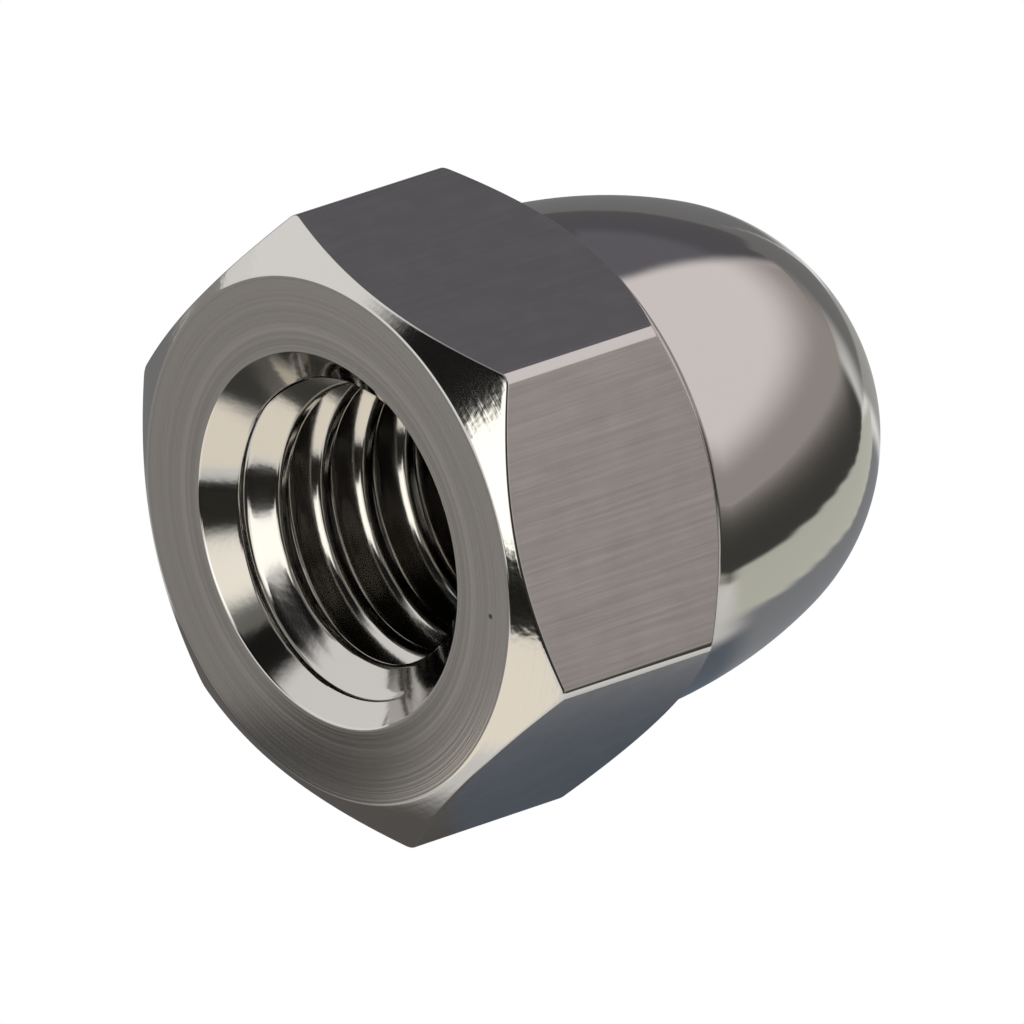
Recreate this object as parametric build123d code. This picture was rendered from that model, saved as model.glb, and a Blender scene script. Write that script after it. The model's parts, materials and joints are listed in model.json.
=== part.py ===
"""Domed cap nut, size M6, lying as it comes to rest on a table.

A cap nut is turned from hexagon bar as one piece: a hexagon for the spanner, a blind threaded
hole in one end, and a smooth dome that closes the other end over the tip of the bolt.

Row frame, in millimetres: the origin is the centre of the bearing face, on the thread axis,
with +Z up. The thread axis lies over the Y axis, with the mouth towards -Y and the dome
towards +Y. The dome outweighs what the lower flat can carry, so the nut tips onto its dome,
and the thread axis dips towards the dome by REST_DIP.
"""
import os
from math import acos, atan2, cos, degrees, hypot, radians, tan

from build123d import *

# Hexagon, with its spanner flats and the cones turned at its two ends
ACROSS_FLATS = 10.0
BAR_CORNER_RADIUS = 0.25
BEARING_DIAMETER = 9.6
FRONT_CHAMFER_ANGLE = 33.0
FLAT_LENGTH = 4.75
BACK_CHAMFER_ANGLE = 42.0

# Dome, from its foot on the back chamfer to its tip
DOME_DIAMETER = 9.33
NOSE_RADIUS = 4.23
TOTAL_LENGTH = 11.64

# Blind hole, at the inner diameter of an M6 thread
MINOR_DIAMETER = 5.0
COUNTERSINK_DIAMETER = 6.86
COUNTERSINK_ANGLE = 90.0
BORE_DEPTH = 8.0
DRILL_POINT_ANGLE = 118.0

# Radii that follow from the diameters
HALF_FLATS = ACROSS_FLATS / 2
BAR_RADIUS = HALF_FLATS / cos(radians(30))
BEARING_RADIUS = BEARING_DIAMETER / 2
DOME_RADIUS = DOME_DIAMETER / 2
BORE_RADIUS = MINOR_DIAMETER / 2
COUNTERSINK_RADIUS = COUNTERSINK_DIAMETER / 2

# Heights along the thread axis, from the bearing face
FRONT_SLOPE = tan(radians(FRONT_CHAMFER_ANGLE))
BACK_SLOPE = tan(radians(BACK_CHAMFER_ANGLE))
FRONT_CORNER_HEIGHT = (BAR_RADIUS - BEARING_RADIUS) * FRONT_SLOPE
BACK_CORNER_HEIGHT = FLAT_LENGTH - (BAR_RADIUS - HALF_FLATS) * BACK_SLOPE
DOME_FOOT_HEIGHT = FLAT_LENGTH + (HALF_FLATS - DOME_RADIUS) * BACK_SLOPE
NOSE_CENTRE_HEIGHT = TOTAL_LENGTH - NOSE_RADIUS
COUNTERSINK_DEPTH = (COUNTERSINK_RADIUS - BORE_RADIUS) / tan(radians(COUNTERSINK_ANGLE / 2))
DRILL_POINT_DEPTH = BORE_DEPTH + BORE_RADIUS / tan(radians(DRILL_POINT_ANGLE / 2))

# The dome's side arc leaves the foot parallel to the axis and meets the nose smoothly,
# which fixes its radius and the angle that it turns through
NOSE_RISE = NOSE_CENTRE_HEIGHT - DOME_FOOT_HEIGHT
DOME_SIDE_RADIUS = (DOME_RADIUS**2 + NOSE_RISE**2 - NOSE_RADIUS**2) / (2 * (DOME_RADIUS - NOSE_RADIUS))
DOME_SIDE_TURN = degrees(atan2(NOSE_RISE, DOME_SIDE_RADIUS - DOME_RADIUS))

# At rest the back edge of a flat and the dome's side arc both touch the table. The offsets are
# from the arc's centre to that edge, across the thread axis and along it
EDGE_ACROSS = HALF_FLATS + DOME_SIDE_RADIUS - DOME_RADIUS
EDGE_ALONG = FLAT_LENGTH - DOME_FOOT_HEIGHT
REST_DIP = degrees(acos(DOME_SIDE_RADIUS / hypot(EDGE_ACROSS, EDGE_ALONG)) + atan2(EDGE_ALONG, EDGE_ACROSS))


def turned(outline):
    """Turn an outline, drawn as radius across and height up, about the thread axis."""
    return revolve(Plane.XZ * make_face(outline), axis=Axis.Z)


def hexagon():
    """The hexagon bar's rounded section, turned back to a cone at each end.

    Each cone cuts the six flats in curves, lowest at the middle of a flat and highest at a
    corner, which is the scalloped edge that a nut shows at both ends of its flats.
    """
    bar_section = fillet(RegularPolygon(BAR_RADIUS, 6).vertices(), BAR_CORNER_RADIUS)
    bar = extrude(bar_section, DOME_FOOT_HEIGHT)
    cones = turned(
        Polyline(
            (0, 0),
            (BEARING_RADIUS, 0),
            (BAR_RADIUS, FRONT_CORNER_HEIGHT),
            (BAR_RADIUS, BACK_CORNER_HEIGHT),
            (DOME_RADIUS, DOME_FOOT_HEIGHT),
            (0, DOME_FOOT_HEIGHT),
            close=True,
        )
    )
    return bar & cones


def dome():
    """The cap over the bolt's tip: a shallow side arc that runs on into a round nose."""
    foot = (DOME_RADIUS, DOME_FOOT_HEIGHT)
    side = JernArc(foot, (0, 1), DOME_SIDE_RADIUS, DOME_SIDE_TURN)
    nose = JernArc(side @ 1, side % 1, NOSE_RADIUS, 90 - DOME_SIDE_TURN)
    inside = Polyline(nose @ 1, (0, DOME_FOOT_HEIGHT), foot)
    return turned(side + nose + inside)


def blind_hole():
    """The drilled hole: a countersunk mouth, a plain wall to be threaded, and the drill's point."""
    return turned(
        Polyline(
            (0, 0),
            (COUNTERSINK_RADIUS, 0),
            (BORE_RADIUS, COUNTERSINK_DEPTH),
            (BORE_RADIUS, BORE_DEPTH),
            (0, DRILL_POINT_DEPTH),
            close=True,
        )
    )


def cap_nut():
    """The nut as turned, standing on its bearing face with its thread axis up."""
    return hexagon() + dome() - blind_hole()


def at_rest(nut):
    """Lay the upright nut down towards +Y, past level, until its dome touches the table."""
    return nut.rotate(Axis.X, -90 - REST_DIP)


os.makedirs("parts", exist_ok=True)
export_step(at_rest(cap_nut()), "parts/cap_nut.step")
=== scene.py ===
import json
from math import atan2, cos, pi, radians, sin, tan

import bpy
from mathutils import Matrix, Vector


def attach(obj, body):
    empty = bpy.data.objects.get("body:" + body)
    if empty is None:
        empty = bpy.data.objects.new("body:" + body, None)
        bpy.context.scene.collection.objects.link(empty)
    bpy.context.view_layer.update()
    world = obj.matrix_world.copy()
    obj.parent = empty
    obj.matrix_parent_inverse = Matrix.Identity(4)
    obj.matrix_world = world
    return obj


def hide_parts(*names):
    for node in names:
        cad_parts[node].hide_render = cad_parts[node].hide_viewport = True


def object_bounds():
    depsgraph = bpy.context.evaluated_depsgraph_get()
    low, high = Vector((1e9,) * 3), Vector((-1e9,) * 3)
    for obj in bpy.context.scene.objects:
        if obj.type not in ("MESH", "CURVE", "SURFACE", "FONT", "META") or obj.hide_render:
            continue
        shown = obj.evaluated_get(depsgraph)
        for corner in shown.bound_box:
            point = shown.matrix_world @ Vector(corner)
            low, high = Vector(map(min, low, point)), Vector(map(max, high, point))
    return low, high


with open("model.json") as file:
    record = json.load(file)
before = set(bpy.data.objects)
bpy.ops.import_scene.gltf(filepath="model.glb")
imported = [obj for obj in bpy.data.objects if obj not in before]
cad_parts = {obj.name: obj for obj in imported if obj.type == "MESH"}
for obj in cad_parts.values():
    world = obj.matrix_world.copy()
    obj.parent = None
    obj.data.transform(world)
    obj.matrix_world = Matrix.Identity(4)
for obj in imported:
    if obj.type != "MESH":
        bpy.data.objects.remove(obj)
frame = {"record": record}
cad_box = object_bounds()


# The camera. The photograph was taken with a long lens and a level camera, from in front of
# the mouth and well above the table. The nut's bearing face is at the origin, and the
# picture's centre lies a little to its right and above.

MM = 0.001
CAMERA_AZIMUTH = 49.842
CAMERA_ELEVATION = 40.871
CAMERA_LENS = 1200.0
CAMERA_DISTANCE = 598.7 * MM
CAMERA_CLIP = (0.1, 10.0)
AIM_RIGHT = 3.242 * MM
AIM_UP = 0.503 * MM


def direction(azimuth, elevation):
    """The unit vector towards an azimuth, from -Y round towards +X, and an elevation."""
    a = radians(azimuth)
    e = radians(elevation)
    return Vector((sin(a) * cos(e), -cos(a) * cos(e), sin(e)))


camera_data = bpy.data.cameras.new("camera")
camera_data.lens = CAMERA_LENS
camera_data.clip_start, camera_data.clip_end = CAMERA_CLIP
camera = bpy.data.objects.new("camera", camera_data)
bpy.context.collection.objects.link(camera)
towards_camera = direction(CAMERA_AZIMUTH, CAMERA_ELEVATION)
camera_right = Vector((0, 0, 1)).cross(towards_camera).normalized()
camera_up = towards_camera.cross(camera_right)
facing = Matrix((camera_right, camera_up, towards_camera)).transposed()
aim = camera_right * AIM_RIGHT + camera_up * AIM_UP
stand = Matrix.Translation(aim + towards_camera * CAMERA_DISTANCE)
camera.matrix_world = stand @ facing.to_4x4()
bpy.context.scene.camera = camera
bpy.context.scene.view_settings.view_transform = "Standard"


# The nut. The real one is a single piece of bright steel, turned from hexagon bar, then drilled
# and threaded from its mouth. Its skin is one surface that runs from the dome's tip over the
# hexagon and the bearing face into the bore, in bands that meet at the profile's edges.

SIZES = {
    "Across flats": 10.0,
    "Bar corner radius": 0.25,
    "Bearing diameter": 9.6,
    "Front chamfer angle": 33.0,
    "Flat length": 4.75,
    "Back chamfer angle": 42.0,
    "Dome diameter": 9.33,
    "Nose radius": 4.23,
    "Total length": 11.64,
    "Minor diameter": 5.0,
    "Thread diameter": 6.08,
    "Thread pitch": 1.0,
    "Thread start": -0.27,
    "Countersink diameter": 6.86,
    "Bore depth": 8.0,
    "Drill point angle": 118.0,
    "Edge break": 0.035,
}

# How finely the skin is laid out, and how strongly its columns and rows crowd towards edges
FLAT_COLUMNS = 16
CORNER_COLUMNS = 4
COLUMNS = 12 * (FLAT_COLUMNS + CORNER_COLUMNS)
COLUMN_CROWDING = 1.3
ROW_CROWDING = 0.95
ROWS = {
    "nose": 36,
    "dome side": 16,
    "dome foot": 4,
    "back chamfer": 3,
    "edge": 5,
    "flat": 12,
    "front chamfer": 4,
    "bearing face": 8,
    "countersink": 6,
    "plain bore": 3,
    "drill point": 8,
}
SEWING_DISTANCE = 0.0004

# The thread, from the height where the countersink hands over to it. The shares are of a pitch,
# and the roundings are of the groove's depth, but for the mouth's, which is in millimetres
ROWS_PER_TURN = 24
TURNS = 9
TURNS_BEFORE = 1.5
THREAD_TOP = 0.40
THREAD_END = 7.4
RUN_OUT = 1.0
CREST_SHARE = 0.125
FLANK_SHARE = 0.3125
CREST_ROUNDING = 0.1
ROOT_ROUNDING = 0.2
MOUTH_ROUNDING = 0.02

# Each band of the skin carries the number of its finish, which the material reads
POLISHED, DRAWN, FACED, CUT, TURNED = 1, 2, 3, 4, 5


class Value:
    """A number that a node tree works out, written like any Python number."""

    def __init__(self, socket):
        self.socket = socket

    def __add__(self, other):
        return maths("ADD", self, other)

    __radd__ = __add__

    def __sub__(self, other):
        return maths("SUBTRACT", self, other)

    def __rsub__(self, other):
        return maths("SUBTRACT", other, self)

    def __mul__(self, other):
        return maths("MULTIPLY", self, other)

    __rmul__ = __mul__

    def __truediv__(self, other):
        return maths("DIVIDE", self, other)

    def __rtruediv__(self, other):
        return maths("DIVIDE", other, self)

    def __pow__(self, other):
        return maths("POWER", self, other)

    def __abs__(self):
        return maths("ABSOLUTE", self)


def plug(node, values):
    """Set a node's sockets to numbers, or link them to Values and sockets."""
    for name, value in values.items():
        socket = node.inputs[name]
        source = value.socket if isinstance(value, Value) else value
        if isinstance(source, bpy.types.NodeSocket):
            node.id_data.links.new(source, socket)
        else:
            socket.default_value = source


def maths(operation, *operands):
    """One Math node on numbers and Values."""
    tree = next(value.socket.id_data for value in operands if isinstance(value, Value))
    node = tree.nodes.new("ShaderNodeMath")
    node.operation = operation
    plug(node, dict(enumerate(operands)))
    return Value(node.outputs[0])


def limited(value, low=0.0, high=1.0):
    """A Value kept between two bounds."""
    return maths("MINIMUM", maths("MAXIMUM", value, low), high)


def blend(start, end, share):
    """The Value that is this share of the way from start to end."""
    return start + (end - start) * share


class Graph:
    """A node tree, and the one way to add a node to it that isn't plain maths."""

    def __init__(self, tree):
        self.tree = tree

    def node(self, kind, settings=None, **sockets):
        """Add a node: its settings first, then its sockets' values or links, by name."""
        node = self.tree.nodes.new(kind)
        for name, value in (settings or {}).items():
            setattr(node, name, value)
        plug(node, {name.replace("_", " "): value for name, value in sockets.items()})
        return node


shape_tree = bpy.data.node_groups.new("cap_nut_shape", "GeometryNodeTree")
shape = Graph(shape_tree)
entry = shape.node("NodeGroupInput")
shape_tree.interface.new_socket("Mesh", in_out="OUTPUT", socket_type="NodeSocketGeometry")
identifiers = {}
size = {}
for name in SIZES:
    item = shape_tree.interface.new_socket(name, in_out="INPUT", socket_type="NodeSocketFloat")
    identifiers[name] = item.identifier
    size[name] = Value(entry.outputs[name])

# A band starts as a flat grid, one unit wide and high and centred on nought. Its two shares run
# round the nut and along the profile
grid_point = shape.node("GeometryNodeInputPosition").outputs[0]
place = shape.node("ShaderNodeSeparateXYZ", Vector=grid_point)
around = Value(place.outputs["X"]) + 0.5
along = Value(place.outputs["Y"]) + 0.5

# Columns crowd towards each corner of the hexagon, and a few share its rounded corner. The last
# column still belongs to the sixth side
side = around * 6
side_start = maths("FLOOR", limited(side, 0.0, 5.999))
from_middle = (side - side_start) * 2 - 1
reach = abs(from_middle)
flat_part = FLAT_COLUMNS / (FLAT_COLUMNS + CORNER_COLUMNS)
half_flats = size["Across flats"] / 2
corner_centre = half_flats - size["Bar corner radius"]
run = 1 - (1 - limited(reach / flat_part)) ** COLUMN_CROWDING
swing = limited((reach - flat_part) / (1 - flat_part)) * (pi / 6)
outwards = corner_centre + size["Bar corner radius"] * maths("COSINE", swing)
sideways = corner_centre * tan(pi / 6) * run + size["Bar corner radius"] * maths("SINE", swing)
bar_radius = maths("SQRT", outwards * outwards + sideways * sideways)
lean = maths("ARCTAN2", sideways, outwards) * maths("SIGN", from_middle)
angle = (side_start + 0.5) * (pi / 3) + lean
cosine = maths("COSINE", angle)
sine = maths("SINE", angle)

# The profile's sizes, in millimetres from the thread axis and from the bearing face
front_slope = maths("TANGENT", maths("RADIANS", size["Front chamfer angle"]))
back_slope = maths("TANGENT", maths("RADIANS", size["Back chamfer angle"]))
bearing_radius = size["Bearing diameter"] / 2
dome_radius = size["Dome diameter"] / 2
bore_radius = size["Minor diameter"] / 2
countersink_radius = size["Countersink diameter"] / 2
nose_radius = size["Nose radius"]
nose_centre = size["Total length"] - nose_radius
dome_foot = size["Flat length"] + (half_flats - dome_radius) * back_slope
nose_rise = nose_centre - dome_foot
side_chord = dome_radius ** 2 + nose_rise ** 2 - nose_radius ** 2
side_radius = side_chord / (2 * (dome_radius - nose_radius))
side_turn = maths("ARCTAN2", nose_rise, side_radius - dome_radius)
drill_slope = maths("TANGENT", maths("RADIANS", size["Drill point angle"] / 2))
drill_tip = size["Bore depth"] + bore_radius / drill_slope

skin = []


def band(rows, across, height, finish):
    """A band of skin, all round: a grid whose points are turned to their radius and height."""
    grid = shape.node(
        "GeometryNodeMeshGrid",
        Size_X=1.0, Size_Y=1.0, Vertices_X=COLUMNS + 1, Vertices_Y=rows + 1,
    )
    marked = shape.node(
        "GeometryNodeStoreNamedAttribute", {"data_type": "FLOAT", "domain": "FACE"},
        Geometry=grid.outputs["Mesh"], Name="finish", Value=finish,
    )
    point = shape.node(
        "ShaderNodeCombineXYZ", X=across * cosine, Y=across * sine, Z=height + 0 * along
    )
    turned = shape.node(
        "GeometryNodeSetPosition",
        Geometry=marked.outputs["Geometry"], Position=point.outputs[0],
    )
    skin.append(turned.outputs["Geometry"])


def towards(start, end, distance):
    """The point that lies this far along the line from start to end."""
    d_across = end[0] - start[0]
    d_height = end[1] - start[1]
    share = distance / maths("SQRT", d_across * d_across + d_height * d_height)
    return start[0] + d_across * share, start[1] + d_height * share


def straight(rows, start, end, finish):
    """A band along a straight line of the profile, with rows that crowd towards its ends."""
    crowded = along - ROW_CROWDING * maths("SINE", along * (2 * pi)) / (2 * pi)
    band(rows, blend(start[0], end[0], crowded), blend(start[1], end[1], crowded), finish)


def edge(rows, start, corner, end, finish):
    """A narrow rounded band that takes the profile round a corner."""
    first = (1 - along) * (1 - along)
    middle = 2 * along * (1 - along)
    last = along * along
    band(
        rows,
        start[0] * first + corner[0] * middle + end[0] * last,
        start[1] * first + corner[1] * middle + end[1] * last,
        finish,
    )


# The dome: a round nose, then a shallow side arc down to its foot
edge_break = size["Edge break"]
foot_lift = edge_break * 2 / side_radius
nose_angle = blend(pi / 2, side_turn, along)
band(
    ROWS["nose"],
    nose_radius * maths("COSINE", nose_angle),
    nose_centre + nose_radius * maths("SINE", nose_angle),
    POLISHED,
)
side_angle = blend(side_turn, foot_lift, along)
side_middle = dome_radius - side_radius
band(
    ROWS["dome side"],
    side_middle + side_radius * maths("COSINE", side_angle),
    dome_foot + side_radius * maths("SINE", side_angle),
    POLISHED,
)

# The profile's corners, and the points a little before and after each where its edge is broken
above_foot = (
    side_middle + side_radius * maths("COSINE", foot_lift),
    dome_foot + side_radius * maths("SINE", foot_lift),
)
foot = (dome_radius, dome_foot)
back_edge = (bar_radius, size["Flat length"] - (bar_radius - half_flats) * back_slope)
front_edge = (bar_radius, (bar_radius - bearing_radius) * front_slope)
bearing_edge = (bearing_radius, 0.0)
mouth_edge = (countersink_radius, 0.0)
thread_top = (countersink_radius - THREAD_TOP, THREAD_TOP)
after_foot = towards(foot, back_edge, edge_break * 2)
before_back = towards(back_edge, foot, edge_break)
after_back = towards(back_edge, front_edge, edge_break)
before_front = towards(front_edge, back_edge, edge_break)
after_front = towards(front_edge, bearing_edge, edge_break)
before_bearing = towards(bearing_edge, front_edge, edge_break)
after_bearing = towards(bearing_edge, mouth_edge, edge_break)
before_mouth = towards(mouth_edge, bearing_edge, edge_break)
after_mouth = towards(mouth_edge, thread_top, edge_break)

# The back cone, the hexagon's flats and rounded corners, the front cone, the bearing face and
# the countersink, with a broken edge between each and the next
edge(ROWS["dome foot"], above_foot, foot, after_foot, POLISHED)
straight(ROWS["back chamfer"], after_foot, before_back, TURNED)
edge(ROWS["edge"], before_back, back_edge, after_back, POLISHED)
rounded_off = maths("GREATER_THAN", reach, flat_part)
bar_finish = DRAWN + (POLISHED - DRAWN) * rounded_off
straight(ROWS["flat"], after_back, before_front, bar_finish)
edge(ROWS["edge"], before_front, front_edge, after_front, POLISHED)
straight(ROWS["front chamfer"], after_front, before_bearing, TURNED)
edge(ROWS["edge"], before_bearing, bearing_edge, after_bearing, POLISHED)
straight(ROWS["bearing face"], after_bearing, before_mouth, FACED)
edge(ROWS["edge"], before_mouth, mouth_edge, after_mouth, POLISHED)
straight(ROWS["countersink"], after_mouth, thread_top, CUT)

# The thread: rows that climb one pitch a turn, held at the thread's two ends. Its crests stand
# at the bore's radius, its grooves reach the thread's full diameter, and the countersink's
# cone cuts the first turns away
pitch = size["Thread pitch"]
climb = size["Thread start"] - TURNS_BEFORE + along * TURNS + angle / (2 * pi)
height = maths("MINIMUM", maths("MAXIMUM", climb * pitch, THREAD_TOP), THREAD_END)
phase = height / pitch - angle / (2 * pi) - size["Thread start"]
from_crest = abs(phase - maths("ROUND", phase))
cut = maths("SMOOTH_MAX", (from_crest - CREST_SHARE) / FLANK_SHARE, 0.0, CREST_ROUNDING)
cut = maths("SMOOTH_MIN", cut, 1.0, ROOT_ROUNDING)
groove = (size["Thread diameter"] - size["Minor diameter"]) / 2
fade = limited((THREAD_END - height) / RUN_OUT)
wall = bore_radius + groove * fade * cut
cone = countersink_radius - height
band(ROWS_PER_TURN * TURNS, maths("SMOOTH_MAX", wall, cone, MOUTH_ROUNDING), height, CUT)
straight(ROWS["plain bore"], (bore_radius, THREAD_END), (bore_radius, size["Bore depth"]), CUT)
straight(ROWS["drill point"], (bore_radius, size["Bore depth"]), (0.0, drill_tip), CUT)

# The bands are joined into one closed skin, which is turned from upright into the pose at rest
joined = shape.node("GeometryNodeJoinGeometry")
for geometry in reversed(skin):
    shape_tree.links.new(geometry, joined.inputs[0])
sewn = shape.node(
    "GeometryNodeMergeByDistance", Geometry=joined.outputs[0], Distance=SEWING_DISTANCE
)
outward = shape.node("GeometryNodeFlipFaces", Mesh=sewn.outputs[0])
smooth = shape.node("GeometryNodeSetShadeSmooth", Geometry=outward.outputs[0])
mounts = frame["record"]["mounts"]
mouth_axis = next(mount["axis"] for mount in mounts if mount["name"] == "bearing_face")
rest_turn = -pi / 2 - atan2(mouth_axis[2], -mouth_axis[1])
laid = shape.node(
    "GeometryNodeTransform",
    Geometry=smooth.outputs[0], Rotation=(rest_turn, 0, 0), Scale=(MM, MM, MM),
)
real = shape.node("GeometryNodeRealizeInstances", Geometry=laid.outputs[0])

# The finish. The bar's drawn flats keep fine lines along the axis, the bearing face has the rings
# that facing leaves, the chamfers and the thread are clean cuts, and the dome is polished.
# Depths and distances are in millimetres, and shades are shares of a colour

LINES_ACROSS = 9
LINES_ALONG = 0.35
LINE_DEPTH = 0.004
RING_DEPTH = 0.0035
MOTTLE_DEPTH = 0.0016
TOOL_MARK_DEPTH = 0.0014
TURNED_GRAIN = 1.5
CUT_GRAIN = 0.6
POLISHED_ROUGHNESS = 0.07
DRAWN_ROUGHER = 0.24
FACED_ROUGHER = 0.2
CUT_ROUGHER = 0.03
TURNED_ROUGHER = 0.03
LINE_SHADE = 0.22
MOTTLE_SHADE = 0.2
RING_SHADE = 0.3
# Painted shade in the bore: how much darker it grows towards its end, from which height, over how
# far
BORE_PAINTED_SHADE = 0.7
BORE_PAINTED_SHADE_FROM = 4.5
BORE_PAINTED_SHADE_OVER = 1.5
# A small pit in the bearing face, whose shade is painted as a dark spot: the mesh has no hollow
# there
PIT = (4.20, -0.94)
PIT_RADIUS = 0.03
PIT_PAINTED_SHADE = 0.8
POLISHED_COLOUR = (0.62, 0.60, 0.57, 1.0)
DRAWN_COLOUR = (0.475, 0.452, 0.43, 1.0)
FACED_COLOUR = (0.55, 0.525, 0.51, 1.0)
CUT_COLOUR = (0.56, 0.54, 0.51, 1.0)

steel = bpy.data.materials.new("bright_steel")
steel.use_nodes = True
steel.node_tree.nodes.clear()
coat = Graph(steel.node_tree)
object_place = coat.node("ShaderNodeTexCoord").outputs["Object"]
upright = coat.node(
    "ShaderNodeMapping",
    Vector=object_place, Rotation=(-rest_turn, 0, 0), Scale=(1 / MM, 1 / MM, 1 / MM),
)
spot = coat.node("ShaderNodeSeparateXYZ", Vector=upright.outputs[0])
x = Value(spot.outputs["X"])
y = Value(spot.outputs["Y"])
z = Value(spot.outputs["Z"])
from_axis = maths("SQRT", x * x + y * y)
zone = Value(coat.node("ShaderNodeAttribute", {"attribute_name": "finish"}).outputs["Fac"])
drawn = maths("COMPARE", zone, DRAWN, 0.5)
faced = maths("COMPARE", zone, FACED, 0.5)
cut_zone = maths("COMPARE", zone, CUT, 0.5)
turned_zone = maths("COMPARE", zone, TURNED, 0.5)


def noise(scale, detail, **point):
    """Cloudy noise from -0.5 to 0.5: along a line for a W, and in space for X, Y and Z."""
    dimensions = "1D" if "W" in point else "3D"
    cloud = coat.node("ShaderNodeTexNoise", {"noise_dimensions": dimensions})
    plug(cloud, {"Scale": scale, "Detail": detail})
    if "W" in point:
        plug(cloud, point)
    else:
        plug(cloud, {"Vector": coat.node("ShaderNodeCombineXYZ", **point).outputs[0]})
    return Value(cloud.outputs[0]) - 0.5


# What the tools left: drawing lines, facing rings, a faint unevenness and the cutters' grain
lines = noise(1.0, 2.0, X=x * LINES_ACROSS, Y=y * LINES_ACROSS, Z=z * LINES_ALONG)
rings = noise(14.0, 2.0, W=from_axis)
broad_rings = noise(4.0, 1.0, W=from_axis)
mottle = noise(1.6, 1.0, X=x, Y=y, Z=z)
grain = noise(7.0, 1.0, X=x, Y=y, Z=z)
height_mm = drawn * lines * LINE_DEPTH + faced * rings * RING_DEPTH + mottle * MOTTLE_DEPTH
tool_marks = turned_zone * (rings + grain * TURNED_GRAIN) + cut_zone * grain * CUT_GRAIN
height_mm = height_mm + tool_marks * TOOL_MARK_DEPTH
bump = coat.node("ShaderNodeBump", Strength=1.0, Distance=1.0, Height=height_mm * MM)
roughness = POLISHED_ROUGHNESS + drawn * DRAWN_ROUGHER + faced * FACED_ROUGHER
roughness = roughness + cut_zone * CUT_ROUGHER + turned_zone * TURNED_ROUGHER

# The lines and rings also show as light and dark, painted shade darkens the bore towards its end,
# and the bearing face has one small pit, whose shade is painted as a dark spot
shade = 1 + drawn * (lines * LINE_SHADE + mottle * MOTTLE_SHADE)
shade = shade + faced * (rings * RING_SHADE + broad_rings * RING_SHADE)
# Painted shade: the bore's colour darker towards its end
shade = shade - cut_zone * BORE_PAINTED_SHADE * limited((z - BORE_PAINTED_SHADE_FROM) / BORE_PAINTED_SHADE_OVER)
from_pit = maths("SQRT", (x - PIT[0]) ** 2 + (y - PIT[1]) ** 2)
# Painted shade: the pit's dark spot
shade = shade - faced * PIT_PAINTED_SHADE * limited(2 - from_pit / PIT_RADIUS)


def tinted(below, above, share):
    """A colour between two colours, by a Value."""
    mix = coat.node("ShaderNodeMix", {"data_type": "RGBA"})
    plug(mix, {0: share, 6: below, 7: above})
    return mix.outputs[2]


plain = tinted(POLISHED_COLOUR, DRAWN_COLOUR, drawn)
plain = tinted(plain, FACED_COLOUR, faced)
plain = tinted(plain, CUT_COLOUR, cut_zone)
colour = coat.node("ShaderNodeVectorMath", {"operation": "SCALE"}, Scale=shade)
plug(colour, {0: plain})
metal = coat.node(
    "ShaderNodeBsdfPrincipled",
    Base_Color=colour.outputs[0], Metallic=1.0, Roughness=roughness, Normal=bump.outputs[0],
)
coat.node("ShaderNodeOutputMaterial", Surface=metal.outputs[0])

dressed = shape.node("GeometryNodeSetMaterial", Geometry=real.outputs[0], Material=steel)
shape.node("NodeGroupOutput", Mesh=dressed.outputs[0])

# The tree runs once on a blank, and its result is kept as a plain mesh
blank = bpy.data.objects.new("blank", bpy.data.meshes.new("blank"))
bpy.context.collection.objects.link(blank)
modifier = blank.modifiers.new("shape", "NODES")
modifier.node_group = shape_tree
for name, value in SIZES.items():
    modifier[identifiers[name]] = value
depsgraph = bpy.context.evaluated_depsgraph_get()
mesh = bpy.data.meshes.new_from_object(blank.evaluated_get(depsgraph))
bpy.data.objects.remove(blank)
nut = bpy.data.objects.new("domed_cap_nut", mesh)
bpy.context.collection.objects.link(nut)
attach(nut, "root")
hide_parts("cap_nut")


# The stage. A wide pale floor under an even white sky, and a studio that only the metal sees: it
# mirrors the panels round it and the sheets on the table, painted reflections of the real nut's
# studio lamps, cards and dark gaps, and the dark sheets under the nut and at its mouth are
# painted shadow, the nut's own shadow on the table.

FLOOR_HALF = 1.5
FLOOR_COLOUR = (0.94, 0.94, 0.94, 1.0)
FLOOR_ROUGHNESS = 0.9
WHITE = (1.0, 1.0, 1.0, 1.0)
NUT_CENTRE = Vector((0, 5 * MM, 0))
floor_height = cad_box[0].z
bpy.context.scene.world = bpy.data.worlds.new("sky")
bpy.context.scene.world.use_nodes = True
sky = bpy.context.scene.world.node_tree.nodes["Background"]
plug(sky, {"Color": WHITE, "Strength": 1.0})


def shares(columns, rows):
    """The two shares of each point of a grid, row by row."""
    return [(i / columns, j / rows) for j in range(rows + 1) for i in range(columns + 1)]


def patch(name, point, columns=1, rows=1):
    """A sheet of faces through the points of a function of two shares."""
    points = [point(u, v) for u, v in shares(columns, rows)]
    faces = []
    for j in range(rows):
        for i in range(columns):
            first = j * (columns + 1) + i
            faces.append((first, first + 1, first + columns + 2, first + columns + 1))
    sheet = bpy.data.meshes.new(name)
    sheet.from_pydata(points, [], faces)
    piece = bpy.data.objects.new(name, sheet)
    bpy.context.collection.objects.link(piece)
    return piece


def floor_point(u, v):
    """The point of the floor at two shares."""
    return (2 * u - 1) * FLOOR_HALF, (2 * v - 1) * FLOOR_HALF, floor_height


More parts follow.
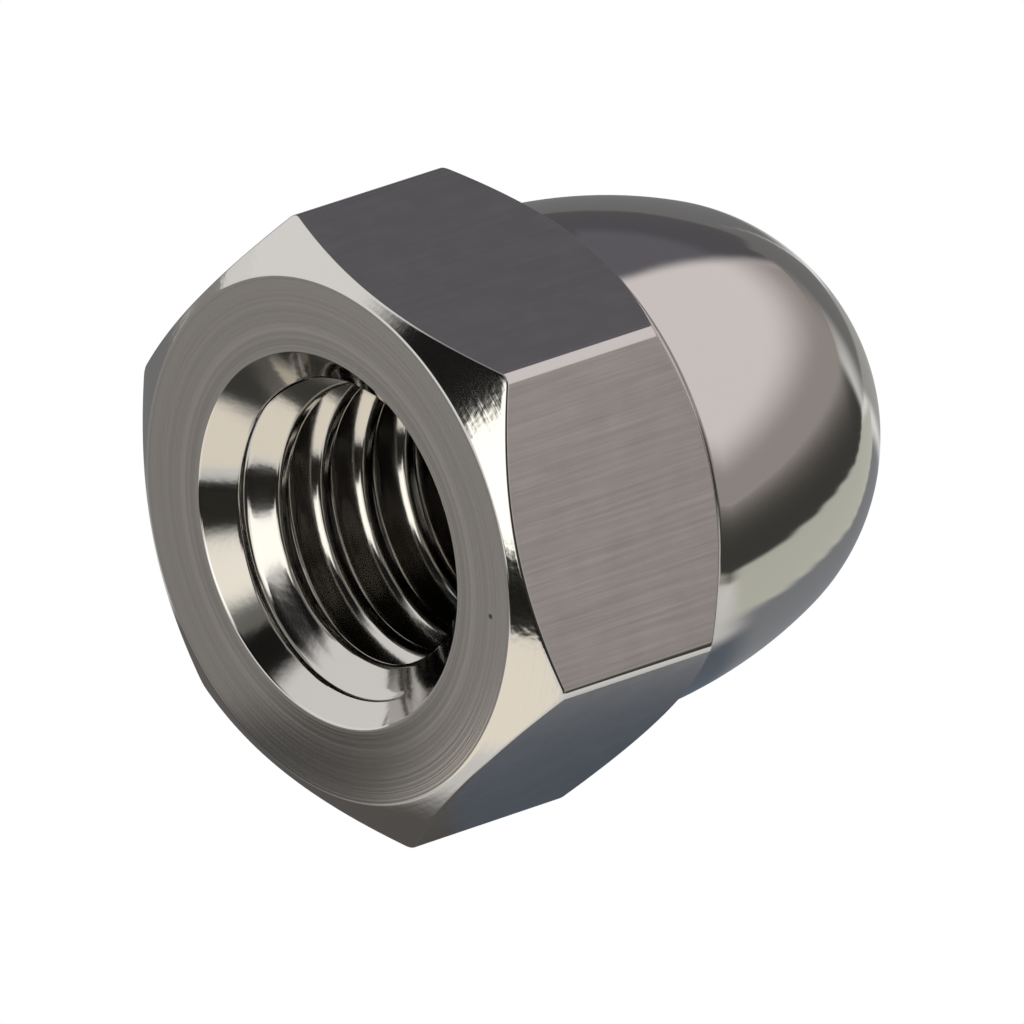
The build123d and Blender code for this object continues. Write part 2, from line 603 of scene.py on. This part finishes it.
# The floor is plain white to the camera, and lights the nut as a pale matt floor
floor = patch("floor", floor_point)
floor_paint = bpy.data.materials.new("pale_floor")
floor_paint.use_nodes = True
floor_surface = floor_paint.node_tree.nodes["Principled BSDF"]
plug(floor_surface, {
    "Base Color": FLOOR_COLOUR, "Roughness": FLOOR_ROUGHNESS, "Specular IOR Level": 0.0,
})
white = Graph(floor_paint.node_tree)
seen = white.node("ShaderNodeLightPath").outputs["Is Camera Ray"]
backdrop = white.node("ShaderNodeEmission", Color=WHITE, Strength=1.0)
bright = white.node("ShaderNodeMixShader")
plug(bright, {0: seen, 1: floor_surface.outputs[0], 2: backdrop.outputs[0]})
plug(floor_paint.node_tree.nodes["Material Output"], {"Surface": bright.outputs[0]})
floor.data.materials.append(floor_paint)


def eased(distance, fade):
    """From 0 at an edge to 1 at this distance inside it."""
    if distance < 0:
        return 0.0
    inside = min(distance / fade, 1.0) if fade else 1.0
    return inside * inside * (3 - 2 * inside)


def in_window(azimuth, elevation, azimuths, elevations, soft):
    """How much a panel in the sky covers a direction."""
    if azimuth < azimuths[0]:
        azimuth += 360
    return (
        eased(azimuth - azimuths[0], soft[0])
        * eased(azimuths[1] - azimuth, soft[1])
        * eased(elevation - elevations[0], soft[2])
        * eased(elevations[1] - elevation, soft[3])
    )


SHEET_STEPS = 12


def in_sheet(spot, corners, soft):
    """How much a four-cornered sheet on the table covers a spot, both in millimetres.

    The spot's two shares of the sheet are found in a few steps, each of which mends what the
    one before it missed by.
    """
    a, b, c, d = [Vector(corner) for corner in corners]
    turn = (b - a).cross(d - a)
    for start, end in ((a, b), (b, c), (c, d), (d, a)):
        if (end - start).cross(spot - start) * turn < 0:
            return 0.0
    u = v = 0.5
    for _ in range(SHEET_STEPS):
        miss = (a * (1 - u) + b * u) * (1 - v) + (d * (1 - u) + c * u) * v - spot
        by_u = (b - a) * (1 - v) + (c - d) * v
        by_v = (d - a) * (1 - u) + (c - b) * u
        area = by_u.cross(by_v)
        u = min(max(u - miss.cross(by_v) / area, 0.0), 1.0)
        v = min(max(v - by_u.cross(miss) / area, 0.0), 1.0)
    wide = (b - a).length
    long = (d - a).length
    return (
        eased(u * wide, soft[0]) * eased((1 - u) * wide, soft[1])
        * eased(v * long, soft[2]) * eased((1 - v) * long, soft[3])
    )


def mirrored(name, piece, shades, covers):
    """Paint a piece with a glow for each of its points, and show it in reflections only.

    Where a point's cover is less than 1, what lies behind the piece shows through it.
    """
    tint = piece.data.attributes.new("shade", "FLOAT_COLOR", "POINT")
    tint.data.foreach_set("color", [part for shade in shades for part in (*shade, 1.0)])
    cover = piece.data.attributes.new("cover", "FLOAT", "POINT")
    cover.data.foreach_set("value", covers)
    paint = bpy.data.materials.new(name)
    paint.use_nodes = True
    paint.node_tree.nodes.clear()
    glow = Graph(paint.node_tree)
    shade = glow.node("ShaderNodeAttribute", {"attribute_name": "shade"})
    light = glow.node("ShaderNodeEmission", Color=shade.outputs["Color"], Strength=1.0)
    surface = light
    if min(covers) < 1:
        clear = glow.node("ShaderNodeBsdfTransparent")
        amount = glow.node("ShaderNodeAttribute", {"attribute_name": "cover"})
        surface = glow.node("ShaderNodeMixShader")
        plug(surface, {0: amount.outputs["Fac"], 1: clear.outputs[0], 2: light.outputs[0]})
    glow.node("ShaderNodeOutputMaterial", Surface=surface.outputs[0])
    piece.data.materials.append(paint)
    piece.visible_camera = False
    piece.visible_diffuse = False
    piece.visible_shadow = False


# The sky that the metal mirrors: a white studio with its panels and dark gaps, each over the one
# before it. A panel has its azimuths, its elevations, its colour, and how softly it fades at
# both azimuths and both elevations, in degrees
SKY_PANELS = [
    ((-180, 180), (56, 90), (0.3, 0.3, 0.3), (0, 0, 8, 0)),
    ((-165, -100), (-3, 58), (0.158, 0.156, 0.182), (0, 8, 0, 0)),
    ((-165, -100), (-3, 14), (0.115, 0.112, 0.127), (0, 8, 0, 6)),
    ((38, 124), (-3, 60), (0.05, 0.05, 0.05), (8, 6, 0, 4)),
    ((112, 205), (-3, 58), (0.92, 0.86, 0.87), (14, 5, 0, 0)),
    ((112, 205), (-3, 15), (0.40, 0.37, 0.36), (14, 5, 0, 15)),
    ((-30, 64), (42, 80), (0.2, 0.2, 0.19), (6, 8, 6, 8)),
    ((-48, 8), (24, 66), (0.01, 0.01, 0.01), (19, 7, 4, 9)),
    ((12, 44), (9, 50), (1.4, 1.35, 1.23), (4, 8, 4, 10)),
    ((-2, 28), (9, 42), (1.85, 1.85, 1.75), (3, 8, 2, 6)),
    ((8, 72), (-3, 10), (0.012, 0.012, 0.01), (4, 4, 0, 2)),
    ((30, 72), (-3, 22), (0.03, 0.03, 0.025), (6, 4, 0, 8)),
]
SKY_RADIUS = 0.5
SKY_COLUMNS = 360
SKY_ROWS = 93
SKY_BOTTOM = -3


def sky_angles(u, v):
    """The azimuth and elevation at two shares of the sky."""
    return 360 * u - 180, SKY_BOTTOM + (90 - SKY_BOTTOM) * v


def sky_shade(azimuth, elevation):
    """The colour of the mirrored sky in a direction."""
    shade = Vector((1, 1, 1))
    for azimuths, elevations, colour, soft in SKY_PANELS:
        share = in_window(azimuth, elevation, azimuths, elevations, soft)
        shade = shade.lerp(Vector(colour), share)
    return shade


def sky_point(u, v):
    """The point of the mirrored sky at two shares."""
    return NUT_CENTRE + direction(*sky_angles(u, v)) * SKY_RADIUS


studio = patch("studio", sky_point, SKY_COLUMNS, SKY_ROWS)
sky_shades = [sky_shade(*sky_angles(u, v)) for u, v in shares(SKY_COLUMNS, SKY_ROWS)]
mirrored("studio_glow", studio, sky_shades, [1.0] * len(sky_shades))

# The table that the metal mirrors, as sheets over one another. The sheets are painted
# reflections, and the dark ones under the nut and at its mouth are painted shadow. A sheet has
# its four corners in millimetres, its colour, and how softly it fades at its sides: the one from
# its last corner to its first, the one across from that, the one from its first corner to its
# second, and the last
TABLE_SHEETS_AND_SHADOWS = [
    (((-58, 78), (8, 56), (30, 1000), (-480, 1000)), (0.2, 0.2, 0.2), (0, 0, 0, 0)),
    (((-900, -120), (-58, 0), (-44, 80), (-450, 900)), (0.12, 0.115, 0.125), (0, 8, 0, 20)),
    (((-7, 20), (4, 22), (6, 60), (-60, 84)), (0.2, 0.2, 0.2), (1, 4, 1, 0)),
    (((-6, 12), (0.5, 14), (2, 23), (-6, 22)), (0.4, 0.4, 0.39), (1, 1, 1, 1)),
    (((-60, 0), (-4.5, 0), (-4.5, 17), (-60, 90)), (0.2, 0.2, 0.205), (0, 6, 0, 2)),
    (((24, -10), (900, -90), (900, 150), (20, 8)), (0.05, 0.05, 0.05), (4, 0, 2, 8)),
    (((-40, -60), (0, -60), (4, 2), (-60, 2)), (0.31, 0.3, 0.285), (4, 3, 0, 4)),
    (((10, 8), (70, 0), (0, 80), (2.5, 23)), (0.06, 0.06, 0.055), (1, 8, 1, 2)),
    # Painted shadow: the nut's own shadow on the table, under its body
    (((-6, 0), (7, 0), (5, 12), (-6, 12)), (0.12, 0.143, 0.176), (1, 1, 0.5, 2)),
    (((16, 8), (1100, 40), (-560, 1100), (-6, 34)), (0.40, 0.37, 0.36), (70, 0, 0, 12)),
    # Painted shadow: the nut's shadow on the table just in front of its mouth
    (((-6, -3), (6, -3), (6, 1), (-6, 1)), (0.12, 0.115, 0.11), (1, 1, 1.5, 0.5)),
    (((0.5, 6), (7, 7.5), (1.5, 18), (-0.5, 13)), (0.25, 0.26, 0.28), (1, 0.5, 1, 1)),
    (((6.5, 7.5), (11, 10.3), (3.5, 22), (0.5, 19.5)), (0.62, 0.63, 0.56), (0.5, 0.3, 1, 1)),
    (((13, -12), (60, -2), (1000, -80), (28, -50)), (0.04, 0.04, 0.035), (2, 0, 2, 0)),
    (((-6, -25), (60, -38), (1000, -40), (40, -1000)), (0.012, 0.012, 0.01), (0, 0, 0, 0)),
    (
        ((-3.8, -8.2), (-1.5, -8.2), (1.2, -3.4), (-4.2, -1.2)),
        (0.06, 0.06, 0.055), (0.8, 0.5, 1.2, 0.6),
    ),
    (((-1.8, -7.6), (1.5, -4.6), (8, -31), (1, -29)), (1.15, 1.08, 0.95), (0.6, 0, 1, 4)),
    (((-0.2, -4.3), (8, -4), (26, -42), (4, -30)), (1.15, 1.08, 0.95), (0.6, 1.5, 1.5, 5)),
]
TABLE_LIFT = 0.15 * MM
TABLE_COLUMNS = 300
TABLE_ROWS = 160
TABLE_NEAR = 1.0
TABLE_FAR = 900.0


def table_spot(u, v):
    """The spot on the table at two shares: round the nut, and outwards in growing steps."""
    distance = TABLE_NEAR * (TABLE_FAR / TABLE_NEAR) ** v
    turn = 2 * pi * u
    return Vector((distance * cos(turn), NUT_CENTRE.y / MM + distance * sin(turn)))


def table_point(u, v):
    """The point of the mirrored table at two shares."""
    return (*(table_spot(u, v) * MM), floor_height + TABLE_LIFT)


def table_shade(spot):
    """The colour of the sheets at a spot on the table, and how much they cover it."""
    shade = Vector((1, 1, 1))
    bare = 1.0
    for corners, colour, soft in TABLE_SHEETS_AND_SHADOWS:
        share = in_sheet(spot, corners, soft)
        bare *= 1 - share
        if share:
            shade = shade.lerp(Vector(colour), share / (1 - bare))
    return shade, 1 - bare


table = patch("table", table_point, TABLE_COLUMNS, TABLE_ROWS)
table_shades = [table_shade(table_spot(u, v)) for u, v in shares(TABLE_COLUMNS, TABLE_ROWS)]
shades, covers = zip(*table_shades)
mirrored("table_glow_and_shadow", table, shades, covers)
